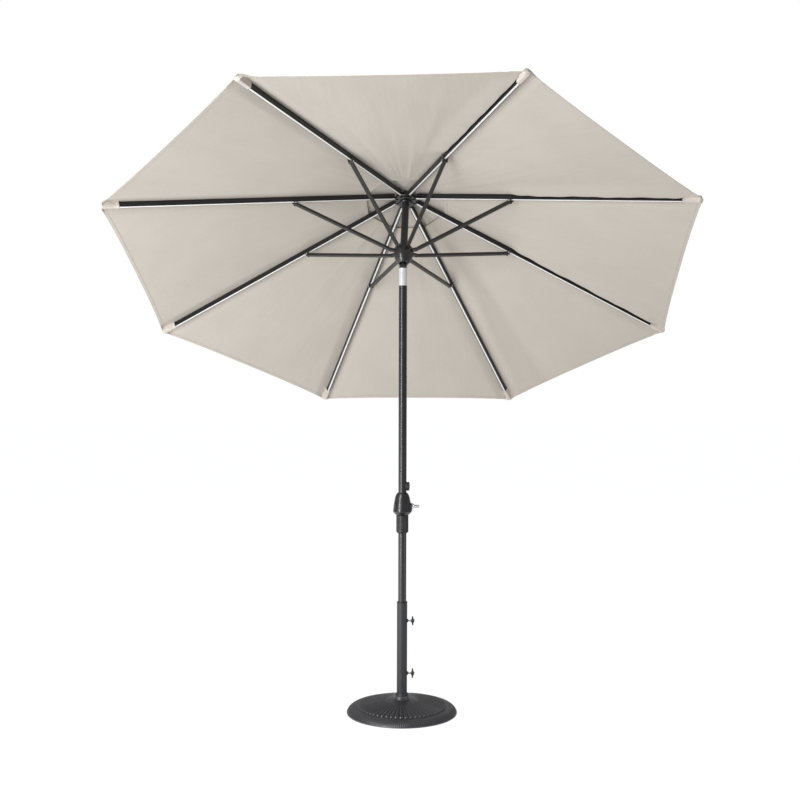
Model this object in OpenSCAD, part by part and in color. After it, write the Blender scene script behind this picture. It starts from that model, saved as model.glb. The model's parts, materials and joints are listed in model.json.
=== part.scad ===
// Crank-lift market umbrella with collar tilt, lit ribs and a cast round base.
// Millimetres, +Z up. Origin: centre of the base's underside. The canopy leans towards +Y.

/* [Base] */
// Outer radius of the cast base
base_r = 254; // [200:1:320]
// Radius of the raised sunburst
burst_r = 206; // [150:1:240]
// Number of sunburst flutes
flute_count = 56; // [24:4:72]
// Thickness of the casting's skin
skin = 9; // [6:1:16]

/* [Stem] */
// Outer radius of the stem tube
stem_r = 24; // [22:0.5:30]
// Height of the stem tube's top
stem_top = 505; // [350:5:600]
// Height of the lower thumbscrew
screw_low_z = 180; // [120:5:250]
// Height of the upper thumbscrew
screw_high_z = 422; // [300:5:470]
// Radius of a thumbscrew's shank
screw_r = 4; // [3:0.5:6]

/* [Pole] */
// Outer radius of the pole
pole_r = 19; // [16:0.5:20]
// Wall of the pole tubes
pole_wall = 2.5; // [1.5:0.25:3]
// Height of the crank shaft's axis
crank_z = 950; // [850:5:1100]
// Radius of the crank shaft
crank_r = 7; // [5:0.5:9]
// Outer radius of the tilt collar
collar_r = 28.2; // [25:0.2:34]
// Height of the light switch
switch_z = 1042; // [1030:2:1200]
// Height of the tilt joint
joint_z = 2057; // [1800:1:2200]

/* [Mast] */
// Lean of the canopy at rest in degrees
lean = 27.5; // [0:0.5:32]
// Outer radius of the mast
mast_r = 17; // [15:0.5:18]
// Distance from the tilt joint to the rib pivots
hub_s = 380; // [340:1:420]
// Radius of the ring of rib pivots
hub_r = 45; // [40:1:50]
// Distance from the tilt joint to the strut pivots
runner_s = 76; // [70:1:90]
// Radius of the ring of strut pivots on the runner
runner_r = 66; // [62:1:70]

/* [Ribs] */
// Length of a rib from its pivot to its tip
rib_length = 1375; // [1200:1:1500]
// Droop of a rib below square to the mast in degrees
droop = 17.8; // [10:0.1:25]
// Width of a rib
rib_w = 16; // [14:1:20]
// Depth of a rib
rib_d = 22; // [16:1:26]
// Wall of a rib
rib_wall = 1.5; // [1:0.25:2.5]
// Distance from a rib's pivot to its strut bracket
bracket_x = 512; // [450:1:560]
// Drop from a rib's pivot line to the strut pivot
bracket_drop = 16; // [15:0.5:20]
// Depth of a strut
strut_d = 12; // [10:0.5:13]
// Width of a strut
strut_w = 15; // [12:0.5:15]

/* [Canopy] */
// Thickness of the fabric solids
cloth = 1.2; // [1:0.1:3]
// Distance along a rib from its pivot to the vent's edge
vent_x = 156; // [130:1:200]
// Radius of the vent cap's corners
cap_r = 262; // [230:1:300]

/* [Hidden] */
$fn = 64;
rib_low = -5;
led_low = -8;
panel_low = rib_low + rib_d + 2;
pole_in = pole_r - pole_wall;
mast_in = mast_r - 2.5;
tip_x = rib_length + 10;
// strut pivot on a rib, as radius and height in the mast's frame
pivot_r = hub_r + bracket_x * cos(droop) - bracket_drop * sin(droop);
pivot_s = hub_s - bracket_x * sin(droop) - bracket_drop * cos(droop);
strut_b = sqrt(pow(pivot_r - runner_r, 2) + pow(pivot_s - runner_s, 2));
strut_dip = atan2(pivot_s - runner_s, pivot_r - runner_r);

// placing helpers

// the leaning mast's frame
module on_mast() {
    translate([0, 0, joint_z])
        rotate([-lean, 0, 0])
            children();
}

// a rib's own frame: x outwards along the rib, z away from the ground side
module on_rib(i) {
    on_mast()
        rotate([0, 0, 45 * i - 22.5])
            translate([hub_r, 0, hub_s])
                rotate([0, droop, 0])
                    children();
}

// a strut's own frame: x from its rib bracket to the runner
module on_strut(i) {
    on_mast()
        rotate([0, 0, 45 * i - 22.5])
            translate([pivot_r, 0, pivot_s])
                rotate([0, 180 - strut_dip, 0])
                    children();
}

// a cylinder along X from x0 to x1
module rod_x(x0, x1, r) {
    translate([x0, 0, 0])
        rotate([0, 90, 0])
            cylinder(h = x1 - x0, r = r);
}

// a cylinder along Y, centred
module rod_y(w, r) {
    rotate([90, 0, 0])
        cylinder(h = w, r = r, center = true);
}

module ring(r_out, r_in, z0, z1) {
    difference() {
        translate([0, 0, z0])
            cylinder(h = z1 - z0, r = r_out);
        translate([0, 0, z0 - 1])
            cylinder(h = z1 - z0 + 2, r = r_in);
    }
}

// a box from one corner to the opposite one
module block(a, b) {
    translate(a)
        cube(b - a);
}

// base

module base_casting() {
    rise = 23;
    slope = atan2(rise, burst_r - 80);
    color([0.12, 0.12, 0.13])
        difference() {
            rotate_extrude($fn = 128)
                polygon([
                    [0, 0], [base_r, 0], [base_r, 5], [base_r - 4, 12], [base_r - 28, 24],
                    [burst_r + 4, 28], [burst_r, 33], [80, 56], [40, 62], [36, 66],
                    [36, 73], [33, 77], [0, 77]
                ]);
            // hollow underside with eight webs left standing
            difference() {
                rotate_extrude($fn = 128)
                    polygon([
                        [40, -1], [base_r - 18, -1], [base_r - 18, 3], [base_r - 32, 24 - skin - 2],
                        [burst_r, 33 - skin - 2], [80, 56 - skin - 2], [40, 60 - skin - 2]
                    ]);
                for (i = [0:7])
                    rotate([0, 0, 45 * i])
                        block([30, -4, -2], [base_r, 4, 80]);
            }
            // socket for the stem
            translate([0, 0, 14])
                cylinder(h = 80, r = stem_r + 0.05);
            // sunburst flutes
            for (i = [0:flute_count - 1])
                rotate([0, 0, (i + 0.5) * 360 / flute_count])
                    translate([80, 0, 56.8])
                        rotate([0, 90 + slope, 0])
                            cylinder(h = burst_r - 72, r1 = 1.4, r2 = 4.6, $fn = 24);
        }
}

module stem_tube() {
    color([0.14, 0.14, 0.15])
        difference() {
            union() {
                translate([0, 0, 14.5])
                    cylinder(h = stem_top - 14.5, r = stem_r);
                for (z = [screw_low_z, screw_high_z])
                    translate([0, 0, z])
                        rod_x(20, stem_r + 4.5, 8);
            }
            translate([0, 0, 10])
                cylinder(h = stem_top, r = stem_r - 2.5);
            for (z = [screw_low_z, screw_high_z])
                translate([0, 0, z])
                    rod_x(0, 40, screw_r + 0.05);
        }
}

module stem_mouth() {
    color([0.07, 0.07, 0.08]) {
        ring(stem_r + 0.8, pole_r + 0.35, stem_top + 0.05, stem_top + 4);
        ring(stem_r - 2.6, pole_r + 0.35, stem_top - 50, stem_top + 1);
    }
}

module stem_ferrule() {
    color([0.1, 0.1, 0.11])
        difference() {
            rotate_extrude()
                polygon([
                    [0, 77.1], [29, 77.1], [29, 81], [27, 84], [27, 87], [25.5, 89], [0, 89]
                ]);
            cylinder(h = 100, r = stem_r + 0.05);
        }
}

// thumbscrews

module thumb_shank(z) {
    translate([0, 0, z]) {
        rod_x(pole_r + 0.8, 44, screw_r);
        rod_x(40.5, 42.4, 6);
    }
}

module thumb_knob(z, turn) {
    translate([0, 0, z])
        rotate([turn, 0, 0])
            difference() {
                union() {
                    rod_x(42.5, 56, 7.5);
                    for (side = [-1, 1])
                        hull() {
                            rod_x(44, 54, 6);
                            translate([0, 0, side * 18.5])
                                rod_x(46.5, 51, 4);
                        }
                }
                rod_x(40, 45, screw_r + 0.05);
            }
}

module screw_upper() {
    color([0.75, 0.75, 0.77])
        thumb_shank(screw_high_z);
}

module knob_upper() {
    color([0.08, 0.08, 0.09])
        thumb_knob(screw_high_z, 8);
}

module screw_lower() {
    color([0.75, 0.75, 0.77])
        thumb_shank(screw_low_z);
}

module knob_lower() {
    color([0.08, 0.08, 0.09])
        thumb_knob(screw_low_z, -6);
}

// pole

module lower_pole() {
    color([0.17, 0.17, 0.18])
        ring(pole_r, pole_in, 20, 924);
}

module upper_pole() {
    color([0.17, 0.17, 0.18])
        ring(pole_r, pole_in, 976, joint_z - 91);
}

module pole_plug() {
    color([0.07, 0.07, 0.08]) {
        translate([0, 0, 14.4])
            cylinder(h = 5.5, r = pole_r);
        translate([0, 0, 19])
            cylinder(h = 30, r = pole_in - 0.1);
    }
}

// one half of the bell-shaped crank housing, from angle a
module housing_half(a) {
    grip = pole_r + 0.15;
    rotate([0, 0, a + 0.1])
        rotate_extrude(angle = 179.8)
            polygon([
                [grip, 1013], [22, 1012.4], [27.7, 1006], [33.2, 993], [39.2, 962], [43.6, 927],
                [43.2, 924], [31, 911], [grip, 911], [grip, 917], [30, 917], [39.6, 929],
                [35.4, 961], [29.5, 990], [24, 1003], [grip, 1005]
            ]);
}

module crank_housing_left() {
    color([0.09, 0.09, 0.1])
        housing_half(90);
}

module crank_housing_right() {
    color([0.09, 0.09, 0.1])
        difference() {
            union() {
                housing_half(-90);
                translate([0, 0, crank_z - 3])
                    rod_x(35.5, 44.5, 18);
                translate([0, 0, crank_z])
                    rod_x(40, 46.5, 13);
            }
            translate([0, 0, crank_z])
                rod_x(20, 60, crank_r + 0.05);
        }
}

module switch_housing() {
    color([0.08, 0.08, 0.09])
        difference() {
            translate([0, 0, switch_z])
                rod_x(12, 31.5, 20);
            translate([0, 0, switch_z])
                rod_x(27, 40, 13.4);
            translate([0, 0, switch_z - 30])
                cylinder(h = 60, r = pole_r + 0.1);
        }
}

module tilt_fork() {
    slot = 6.6;
    color([0.1, 0.1, 0.11])
        translate([0, 0, joint_z])
            difference() {
                union() {
                    translate([0, 0, -91])
                        cylinder(h = 64, r = 17.5);
                    translate([0, 0, -126])
                        cylinder(h = 36, r = pole_in - 0.1);
                    intersection() {
                        union() {
                            rod_x(-18, 18, 14);
                            block([-18, -14, -30], [18, 14, 0]);
                        }
                        translate([0, 0, -30])
                            cylinder(h = 60, r = 17.5);
                    }
                }
                block([-slot, -20, -16], [slot, 20, 20]);
                rod_x(-20, 20, 4.03);
            }
}

module tilt_pin() {
    color([0.7, 0.7, 0.72])
        translate([0, 0, joint_z])
            rod_x(-16.8, 16.8, 4);
}

module crank_shaft() {
    color([0.85, 0.85, 0.87])
        translate([0, 0, crank_z])
            difference() {
                union() {
                    rod_x(-14, 78, crank_r);
                    rod_x(47.2, 50, 9.5);
                }
                block([66, -1.5, -10], [80, 1.5, 10]);
            }
}

module cord_spool() {
    color([0.2, 0.2, 0.21])
        translate([0, 0, crank_z])
            difference() {
                union() {
                    rod_x(-10, 10, 11);
                    rod_x(-12, -9, 15);
                    rod_x(9, 12, 15);
                }
                rod_x(-20, 20, crank_r + 0.05);
            }
}

module tilt_collar() {
    color([0.1, 0.1, 0.11])
        difference() {
            rotate_extrude()
                polygon([
                    [pole_r + 0.3, 827], [collar_r - 5, 827], [collar_r, 833], [collar_r, 906],
                    [collar_r - 1.5, 909.4], [pole_r + 0.3, 909.4]
                ]);
            for (i = [0:15])
                rotate([0, 0, 22.5 * i])
                    translate([collar_r + 1.1, 0, 840])
                        cylinder(h = 60, r = 2, $fn = 24);
        }
}

module switch_button() {
    color([0.3, 0.3, 0.31])
        translate([0, 0, switch_z])
            rod_x(30, 33, 12.6);
}

// mast

module mast_tube() {
    color([0.12, 0.12, 0.13])
        on_mast()
            difference() {
                ring(mast_r, mast_in, 34.1, 366);
                translate([0, 0, 336])
                    rod_x(-30, 30, 2.6);
            }
}

module tilt_knuckle() {
    color([0.1, 0.1, 0.11])
        on_mast()
            difference() {
                union() {
                    rod_x(-6.3, 6.3, 14);
                    block([-6.3, -13, 0], [6.3, 13, 31]);
                    translate([0, 0, 29])
                        cylinder(h = 5, r = mast_r);
                    translate([0, 0, 33])
                        cylinder(h = 37, r = mast_in - 0.1);
                }
                rod_x(-20, 20, 4.05);
            }
}

module runner() {
    color([0.08, 0.08, 0.09])
        on_mast()
            difference() {
                union() {
                    rotate_extrude()
                        polygon([
                            [0, 12], [20.6, 12], [27, 19], [34, 30], [41, 45], [45.6, 61],
                            [47, 74], [46.6, 84], [43.6, 95], [38, 102], [27, 105],
                            [23, 108], [22.4, 122], [21, 124], [0, 124]
                        ]);
                    for (i = [1:8])
                        rotate([0, 0, 45 * i - 22.5]) {
                            block([38, -8, runner_s - 6], [runner_r, 8, runner_s + 6]);
                            translate([runner_r, 0, runner_s])
                                rod_y(16, 6);
                        }
                }
                translate([0, 0, 10])
                    cylinder(h = 120, r = mast_r + 0.3);
                translate([0, 0, 11])
                    cylinder(h = 25, r = 19.4);
                for (i = [1:8])
                    rotate([0, 0, 45 * i - 22.5])
                        block([runner_r - 8, -3.5, 40], [90, 3.5, 110]);
            }
}

module top_hub() {
    color([0.08, 0.08, 0.09])
        on_mast()
            difference() {
                rotate_extrude()
                    polygon([
                        [0, 352], [28, 352], [30, 355], [30, 368], [34, 370.5], [49, 370.5],
                        [51, 373], [51, 388], [48, 391], [26, 393], [22, 398], [0, 398]
                    ]);
                translate([0, 0, 340])
                    cylinder(h = 28, r = mast_r + 0.05);
                for (i = [1:8])
                    rotate([0, 0, 45 * i - 22.5])
                        block([37, -4.3, 360], [60, 4.3, 400]);
                rotate_extrude()
                    translate([hub_r, hub_s])
                        circle(r = 2.15, $fn = 24);
            }
}

module hub_ring() {
    color([0.7, 0.7, 0.72])
        on_mast()
            rotate_extrude()
                translate([hub_r, hub_s])
                    circle(r = 2, $fn = 24);
}

module cord_pulley() {
    color([0.6, 0.6, 0.62])
        on_mast()
            translate([0, 0, 336]) {
                rod_x(-16.6, 16.6, 2.5);
                rod_x(-5, -3, 10);
                rod_x(-4, 4, 7.5);
                rod_x(3, 5, 10);
            }
}

module finial() {
    color([0.08, 0.08, 0.09])
        on_mast()
            rotate_extrude()
                polygon([
                    [0, 413], [31, 413], [32, 415.5], [30, 419], [14, 423], [11, 428],
                    [16, 434], [21, 441], [22.5, 448], [20, 456], [13, 463], [6, 468], [0, 469]
                ]);
}

module vent_cap() {
    color([0.78, 0.75, 0.71])
        on_mast()
            difference() {
                hull() {
                    translate([0, 0, 342])
                        rotate([0, 0, 22.5])
                            cylinder(h = 1, r = cap_r, $fn = 8);
                    translate([0, 0, 400])
                        cylinder(h = 12.6, r = 26, $fn = 32);
                }
                hull() {
                    translate([0, 0, 341])
                        rotate([0, 0, 22.5])
                            cylinder(h = 0.5, r = cap_r - 3, $fn = 8);
                    translate([0, 0, 396])
                        cylinder(h = 14, r = 25, $fn = 32);
                }
                cylinder(h = 500, r = 12);
            }
}

// ribs, their light strips, struts and canopy panels

module rib_bar() {
    high = rib_low + rib_d;
    half = rib_w / 2;
    cheek = half + 3;
    difference() {
        union() {
            // tongue that swings in the hub's slot
            rod_y(8, 6);
            block([0, -4, -5], [24, 4, 6]);
            // tube
            block([22, -half, rib_low], [rib_length, half, high]);
            // strut bracket wrapped round the tube
            for (side = [-1, 1])
                translate([bracket_x, side * (half + 1.5), 0]) {
                    block([-11, -1.5, -10], [11, 1.5, 6]);
                    block([-7, -1.5, -bracket_drop], [7, 1.5, -9]);
                    translate([0, 0, -bracket_drop])
                        rod_y(3, 7);
                }
            translate([bracket_x, 0, -bracket_drop]) {
                rod_y(2 * cheek + 1, 3);
                translate([0, cheek + 0.7, 0])
                    rod_y(1.6, 4.5);
                translate([0, -cheek - 0.7, 0])
                    rod_y(1.6, 4.5);
            }
        }
        block(
            [44, -half + rib_wall, rib_low + rib_wall],
            [rib_length + 1, half - rib_wall, high - rib_wall]
        );
        rod_y(20, 2.7);
    }
}

module led_strip() {
    block([60, -6, led_low], [1303, 6, rib_low - 0.05]);
}

module strut_bar() {
    half = strut_w / 2;
    deep = strut_d / 2;
    difference() {
        union() {
            rod_y(strut_w, deep);
            block([0, -half, -deep], [strut_b - 15, half, deep]);
            block([strut_b - 17, -3, -deep], [strut_b, 3, deep]);
            translate([strut_b, 0, 0])
                rod_y(6, deep);
        }
        rod_y(40, 3.05);
    }
}

// radius and height in the mast's frame of a point of a rib's frame
function rib_rs(x, z) = [
    hub_r + x * cos(droop) + z * sin(droop),
    hub_s - x * sin(droop) + z * cos(droop)
];

// half of a canopy panel, between a rib and the seam beside it
module half_panel(side) {
    near = rib_rs(vent_x, panel_low);
    far = rib_rs(tip_x, panel_low);
    hull()
        for (q = [near, far]) {
            translate([q[0], 0, q[1]])
                cylinder(h = cloth, r = 0.5, $fn = 8);
            rotate([0, 0, side * 22.5])
                translate([q[0] * cos(22.5), -side * 0.8, q[1]])
                    cylinder(h = cloth, r = 0.5, $fn = 8);
        }
}

module panel(i) {
    on_mast()
        rotate([0, 0, 45 * i - 22.5]) {
            half_panel(1);
            half_panel(-1);
        }
}

module rib_1() {
    color([0.1, 0.1, 0.11])
        on_rib(1)
            rib_bar();
}

module led_1() {
    color([0.95, 0.95, 0.92])
        on_rib(1)
            led_strip();
}

module panel_1() {
    color([0.78, 0.75, 0.71])
        panel(1);
}

module strut_1() {
    color([0.14, 0.13, 0.12])
        on_strut(1)
            strut_bar();
}

module rib_2() {
    color([0.1, 0.1, 0.11])
        on_rib(2)
            rib_bar();
}

module led_2() {
    color([0.95, 0.95, 0.92])
        on_rib(2)
            led_strip();
}

module panel_2() {
    color([0.78, 0.75, 0.71])
        panel(2);
}

module strut_2() {
    color([0.14, 0.13, 0.12])
        on_strut(2)
            strut_bar();
}

module rib_3() {
    color([0.1, 0.1, 0.11])
        on_rib(3)
            rib_bar();
}

module led_3() {
    color([0.95, 0.95, 0.92])
        on_rib(3)
            led_strip();
}

module panel_3() {
    color([0.78, 0.75, 0.71])
        panel(3);
}

module strut_3() {
    color([0.14, 0.13, 0.12])
        on_strut(3)
            strut_bar();
}

module rib_4() {
    color([0.1, 0.1, 0.11])
        on_rib(4)
            rib_bar();
}

module led_4() {
    color([0.95, 0.95, 0.92])
        on_rib(4)
            led_strip();
}

module panel_4() {
    color([0.78, 0.75, 0.71])
        panel(4);
}

module strut_4() {
    color([0.14, 0.13, 0.12])
        on_strut(4)
            strut_bar();
}

module rib_5() {
    color([0.1, 0.1, 0.11])
        on_rib(5)
            rib_bar();
}

module led_5() {
    color([0.95, 0.95, 0.92])
        on_rib(5)
            led_strip();
}

module panel_5() {
    color([0.78, 0.75, 0.71])
        panel(5);
}

module strut_5() {
    color([0.14, 0.13, 0.12])
        on_strut(5)
            strut_bar();
}

module rib_6() {
    color([0.1, 0.1, 0.11])
        on_rib(6)
            rib_bar();
}

module led_6() {
    color([0.95, 0.95, 0.92])
        on_rib(6)
            led_strip();
}

module panel_6() {
    color([0.78, 0.75, 0.71])
        panel(6);
}

module strut_6() {
    color([0.14, 0.13, 0.12])
        on_strut(6)
            strut_bar();
}

module rib_7() {
    color([0.1, 0.1, 0.11])
        on_rib(7)
            rib_bar();
}

module led_7() {
    color([0.95, 0.95, 0.92])
        on_rib(7)
            led_strip();
}

module panel_7() {
    color([0.78, 0.75, 0.71])
        panel(7);
}

module strut_7() {
    color([0.14, 0.13, 0.12])
        on_strut(7)
            strut_bar();
}

module rib_8() {
    color([0.1, 0.1, 0.11])
        on_rib(8)
            rib_bar();
}

module led_8() {
    color([0.95, 0.95, 0.92])
        on_rib(8)
            led_strip();
}

module panel_8() {
    color([0.78, 0.75, 0.71])
        panel(8);
}

module strut_8() {
    color([0.14, 0.13, 0.12])
        on_strut(8)
            strut_bar();
}

base_casting();
stem_tube();
stem_mouth();
stem_ferrule();
screw_upper();
knob_upper();
screw_lower();
knob_lower();
lower_pole();
upper_pole();
pole_plug();
crank_housing_left();
crank_housing_right();
switch_housing();
tilt_fork();
tilt_pin();
crank_shaft();
cord_spool();
tilt_collar();
switch_button();
mast_tube();
tilt_knuckle();
runner();
top_hub();
hub_ring();
cord_pulley();
finial();
vent_cap();
rib_1();
led_1();
panel_1();
strut_1();
rib_2();
led_2();
panel_2();
strut_2();
rib_3();
led_3();
panel_3();
strut_3();
rib_4();
led_4();
panel_4();
strut_4();
rib_5();
led_5();
panel_5();
strut_5();
rib_6();
led_6();
panel_6();
strut_6();
rib_7();
led_7();
panel_7();
strut_7();
rib_8();
led_8();
panel_8();
strut_8();
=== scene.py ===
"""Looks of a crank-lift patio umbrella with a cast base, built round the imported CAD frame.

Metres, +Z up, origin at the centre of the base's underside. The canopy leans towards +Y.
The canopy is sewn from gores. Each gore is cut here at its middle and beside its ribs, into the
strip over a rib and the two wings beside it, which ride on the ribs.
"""

import json
import math

import bpy
import numpy as np
from mathutils import Matrix, Vector


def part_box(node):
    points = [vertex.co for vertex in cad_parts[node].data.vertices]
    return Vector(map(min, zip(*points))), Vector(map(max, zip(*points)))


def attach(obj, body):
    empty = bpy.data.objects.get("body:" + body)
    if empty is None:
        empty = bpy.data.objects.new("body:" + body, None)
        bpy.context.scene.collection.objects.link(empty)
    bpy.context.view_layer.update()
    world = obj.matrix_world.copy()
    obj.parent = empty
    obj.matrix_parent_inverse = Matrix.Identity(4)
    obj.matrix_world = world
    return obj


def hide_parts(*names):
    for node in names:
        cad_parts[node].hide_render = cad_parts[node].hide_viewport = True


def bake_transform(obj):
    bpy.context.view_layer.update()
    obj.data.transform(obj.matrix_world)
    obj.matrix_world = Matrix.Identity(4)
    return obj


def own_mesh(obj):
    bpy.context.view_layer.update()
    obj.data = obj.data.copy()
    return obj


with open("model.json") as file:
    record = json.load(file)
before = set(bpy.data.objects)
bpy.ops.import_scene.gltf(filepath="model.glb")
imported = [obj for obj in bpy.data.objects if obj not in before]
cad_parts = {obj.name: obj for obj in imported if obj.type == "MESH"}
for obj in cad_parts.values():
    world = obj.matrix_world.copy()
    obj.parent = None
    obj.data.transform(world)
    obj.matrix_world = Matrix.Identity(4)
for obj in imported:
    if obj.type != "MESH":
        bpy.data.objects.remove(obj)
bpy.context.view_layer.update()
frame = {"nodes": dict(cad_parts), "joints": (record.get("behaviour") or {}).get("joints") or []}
MM = 0.001

# ---------------------------------------------------------------- places taken from the frame

JOINTS = {j["name"]: j for j in frame["joints"]}
JOINT_Z = JOINTS["canopy_tilt"]["pos_m"][2]
LEAN = math.radians(JOINTS["canopy_tilt"]["range_deg"][1])
FOLD = "canopy_fold"
FOLD_ANGLE = math.radians(JOINTS[FOLD]["range_deg"][1])
MAST = Matrix.Translation((0, 0, JOINT_Z)) @ Matrix.Rotation(-LEAN, 4, "X")
RIB_COUNT = 8
RIBS = range(1, RIB_COUNT + 1)
HALF_GORE = math.pi / RIB_COUNT


def azimuth(i):
    """Angle of rib i round the mast."""
    return (2 * i - 1) * HALF_GORE


def moved(points, matrix):
    """Points (any shape, last axis 3) through a 4x4 matrix."""
    m = np.array(matrix)
    return points @ m[:3, :3].T + m[:3, 3]


def node_points(node):
    """A CAD node's vertices in the row frame."""
    mesh = frame["nodes"][node].data
    flat = np.zeros(len(mesh.vertices) * 3)
    mesh.vertices.foreach_get("co", flat)
    return flat.reshape(-1, 3)


def mast_points(node, turn):
    """A CAD node's vertices in the mast's frame, turned back by an azimuth."""
    return moved(node_points(node), Matrix.Rotation(-turn, 4, "Z") @ MAST.inverted())


HUB = MAST.inverted() @ Vector(JOINTS[FOLD]["pos_m"])
HUB_R = math.hypot(HUB.x, HUB.y)
HUB_S = HUB.z


def droop_of_ribs():
    """Angle of a rib below square to the mast, from the two ends of rib 1's light strip."""
    strip = mast_points("led_1", azimuth(1))
    middle = (strip[:, 0].min() + strip[:, 0].max()) / 2
    inner = strip[strip[:, 0] < middle].mean(0)
    outer = strip[strip[:, 0] > middle].mean(0)
    return math.atan2(inner[2] - outer[2], outer[0] - inner[0])


DROOP = droop_of_ribs()


def gore_frame(i):
    """The mast's frame, turned so that x points to rib i."""
    return MAST @ Matrix.Rotation(azimuth(i), 4, "Z")


def rib_frame(i):
    """Rib i's own frame: x outwards along the rib, z away from the ground side."""
    place = Matrix.Translation((HUB_R, 0, HUB_S)) @ Matrix.Rotation(DROOP, 4, "Y")
    return gore_frame(i) @ place


def rib_points(node, i):
    """A CAD node's vertices in rib i's own frame."""
    return moved(node_points(node), rib_frame(i).inverted())


# on a rib's own scale: the rib, its light strip and the ridge of the CAD panel over it
RIB = rib_points("rib_1", 1)
RIB_END = RIB[:, 0].max()
RIB_TUBE = RIB[RIB[:, 0] > RIB_END - 1 * MM]
LIGHT = rib_points("led_1", 1)
LIGHT_X = (LIGHT[:, 0].min(), LIGHT[:, 0].max())
LIGHT_Z = (LIGHT[:, 2].min(), LIGHT[:, 2].max())
PANEL = rib_points("panel_1", 1)
RIDGE = PANEL[np.abs(PANEL[:, 1]) < 0.6 * MM]
CLOTH_LOW = RIDGE[:, 2].min()
VENT_X = RIDGE[:, 0].min() + 0.5 * MM
TIP_X = RIDGE[:, 0].max() - 0.5 * MM

# ---------------------------------------------------------------- camera, light and stage


def linear(r, g, b):
    """A screen colour, 0 to 255, as the linear colour that a shader takes."""
    def one(c):
        c = c / 255
        return c / 12.92 if c <= 0.04045 else ((c + 0.055) / 1.055) ** 2.4
    return one(r), one(g), one(b)


def add_node(tree, kind, sockets=None):
    """A new node with some of its inputs set."""
    made = tree.nodes.new(kind)
    for name, value in (sockets or {}).items():
        made.inputs[name].default_value = value
    return made


def make_camera():
    """The studio camera: nearly level, a little right of the umbrella and turned in."""
    data = bpy.data.cameras.new("studio_camera")
    data.sensor_width = 36
    data.lens = 48.7
    data.clip_end = 200
    cam = bpy.data.objects.new("studio_camera", data)
    bpy.context.scene.collection.objects.link(cam)
    cam.location = (0.355, -4.979, 1.459)
    cam.rotation_mode = "XYZ"
    cam.rotation_euler = (math.radians(89.78), math.radians(-0.16), math.radians(4.22))
    bpy.context.scene.camera = cam


def area_light(name, place, target, size, power):
    """A soft lamp that the camera doesn't see."""
    data = bpy.data.lights.new(name, "AREA")
    data.shape = "RECTANGLE"
    data.size, data.size_y = size
    data.energy = power
    lamp = bpy.data.objects.new(name, data)
    lamp.location = place
    lamp.rotation_euler = (Vector(target) - Vector(place)).to_track_quat("-Z", "Y").to_euler()
    lamp.visible_camera = False
    bpy.context.scene.collection.objects.link(lamp)


def make_light():
    """A weak wide sun, a softbox on the left and above, and two low fills under the canopy."""
    sun = bpy.data.lights.new("key", "SUN")
    sun.energy = 1.2
    sun.angle = math.radians(28)
    key = bpy.data.objects.new("key", sun)
    key.rotation_euler = Vector((0.42, 0.62, -0.66)).to_track_quat("-Z", "Y").to_euler()
    bpy.context.scene.collection.objects.link(key)
    area_light("left_softbox", (-2.5, -3.8, 1.5), (0, 0, 1.2), (0.7, 3.4), 140)
    area_light("low_right", (2.2, -0.8, 0.14), (-0.9, 0, 2.2), (1.8, 1.2), 9)
    area_light("low_left", (-2.0, -1.2, 0.14), (-1.1, 0, 2.1), (1.4, 1.0), 13)
    area_light("top_softbox", (0, 0.8, 4.6), (0, 0.3, 2.3), (2.4, 2.4), 50)


def make_world():
    """White where the camera sees it, and a soft grey room for the light."""
    world = bpy.data.worlds.new("studio")
    world.use_nodes = True
    tree, links = world.node_tree, world.node_tree.links
    tree.nodes.clear()
    out = add_node(tree, "ShaderNodeOutputWorld")
    mix = add_node(tree, "ShaderNodeMixShader")
    seen = add_node(tree, "ShaderNodeBackground", {"Color": (1, 1, 1, 1), "Strength": 1.0})
    tone = {"Color": (0.97, 0.985, 1.0, 1), "Strength": 0.36}
    room = add_node(tree, "ShaderNodeBackground", tone)
    path = add_node(tree, "ShaderNodeLightPath")
    links.new(path.outputs["Is Camera Ray"], mix.inputs[0])
    links.new(room.outputs[0], mix.inputs[1])
    links.new(seen.outputs[0], mix.inputs[2])
    links.new(mix.outputs[0], out.inputs["Surface"])
    bpy.context.scene.world = world
    bpy.context.scene.view_settings.view_transform = "Standard"


def make_floor():
    """A wide pale floor with a little light of its own, so that it stays pale under the canopy."""
    size = 60.0
    mesh = bpy.data.meshes.new("floor")
    corners = [(-size, -size, 0), (size, -size, 0), (size, size, 0), (-size, size, 0)]
    mesh.from_pydata(corners, [], [(0, 1, 2, 3)])
    floor = bpy.data.objects.new("floor", mesh)
    bpy.context.scene.collection.objects.link(floor)
    mat = bpy.data.materials.new("floor")
    mat.use_nodes = True
    shader = mat.node_tree.nodes["Principled BSDF"]
    shader.inputs["Base Color"].default_value = (0.26, 0.26, 0.26, 1)
    shader.inputs["Roughness"].default_value = 0.9
    shader.inputs["Specular IOR Level"].default_value = 0.0
    shader.inputs["Emission Color"].default_value = (1, 1, 1, 1)
    # the bounce off the floor is stronger on the left, the side of the softbox
    tree, links = mat.node_tree, mat.node_tree.links
    place = add_node(tree, "ShaderNodeTexCoord")
    split = add_node(tree, "ShaderNodeSeparateXYZ")
    fade = {"From Min": -2.2, "From Max": 2.2, "To Min": 1.2, "To Max": 0.25}
    bounce = add_node(tree, "ShaderNodeMapRange", fade)
    path = add_node(tree, "ShaderNodeLightPath")
    pick = add_node(tree, "ShaderNodeMix", {"B": 0.84})
    links.new(place.outputs["Object"], split.inputs[0])
    links.new(split.outputs["X"], bounce.inputs["Value"])
    links.new(path.outputs["Is Camera Ray"], pick.inputs["Factor"])
    links.new(bounce.outputs[0], pick.inputs["A"])
    links.new(pick.outputs["Result"], shader.inputs["Emission Strength"])
    mesh.materials.append(mat)


make_camera()
make_light()
make_world()
make_floor()

# ---------------------------------------------------------------- materials


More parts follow.
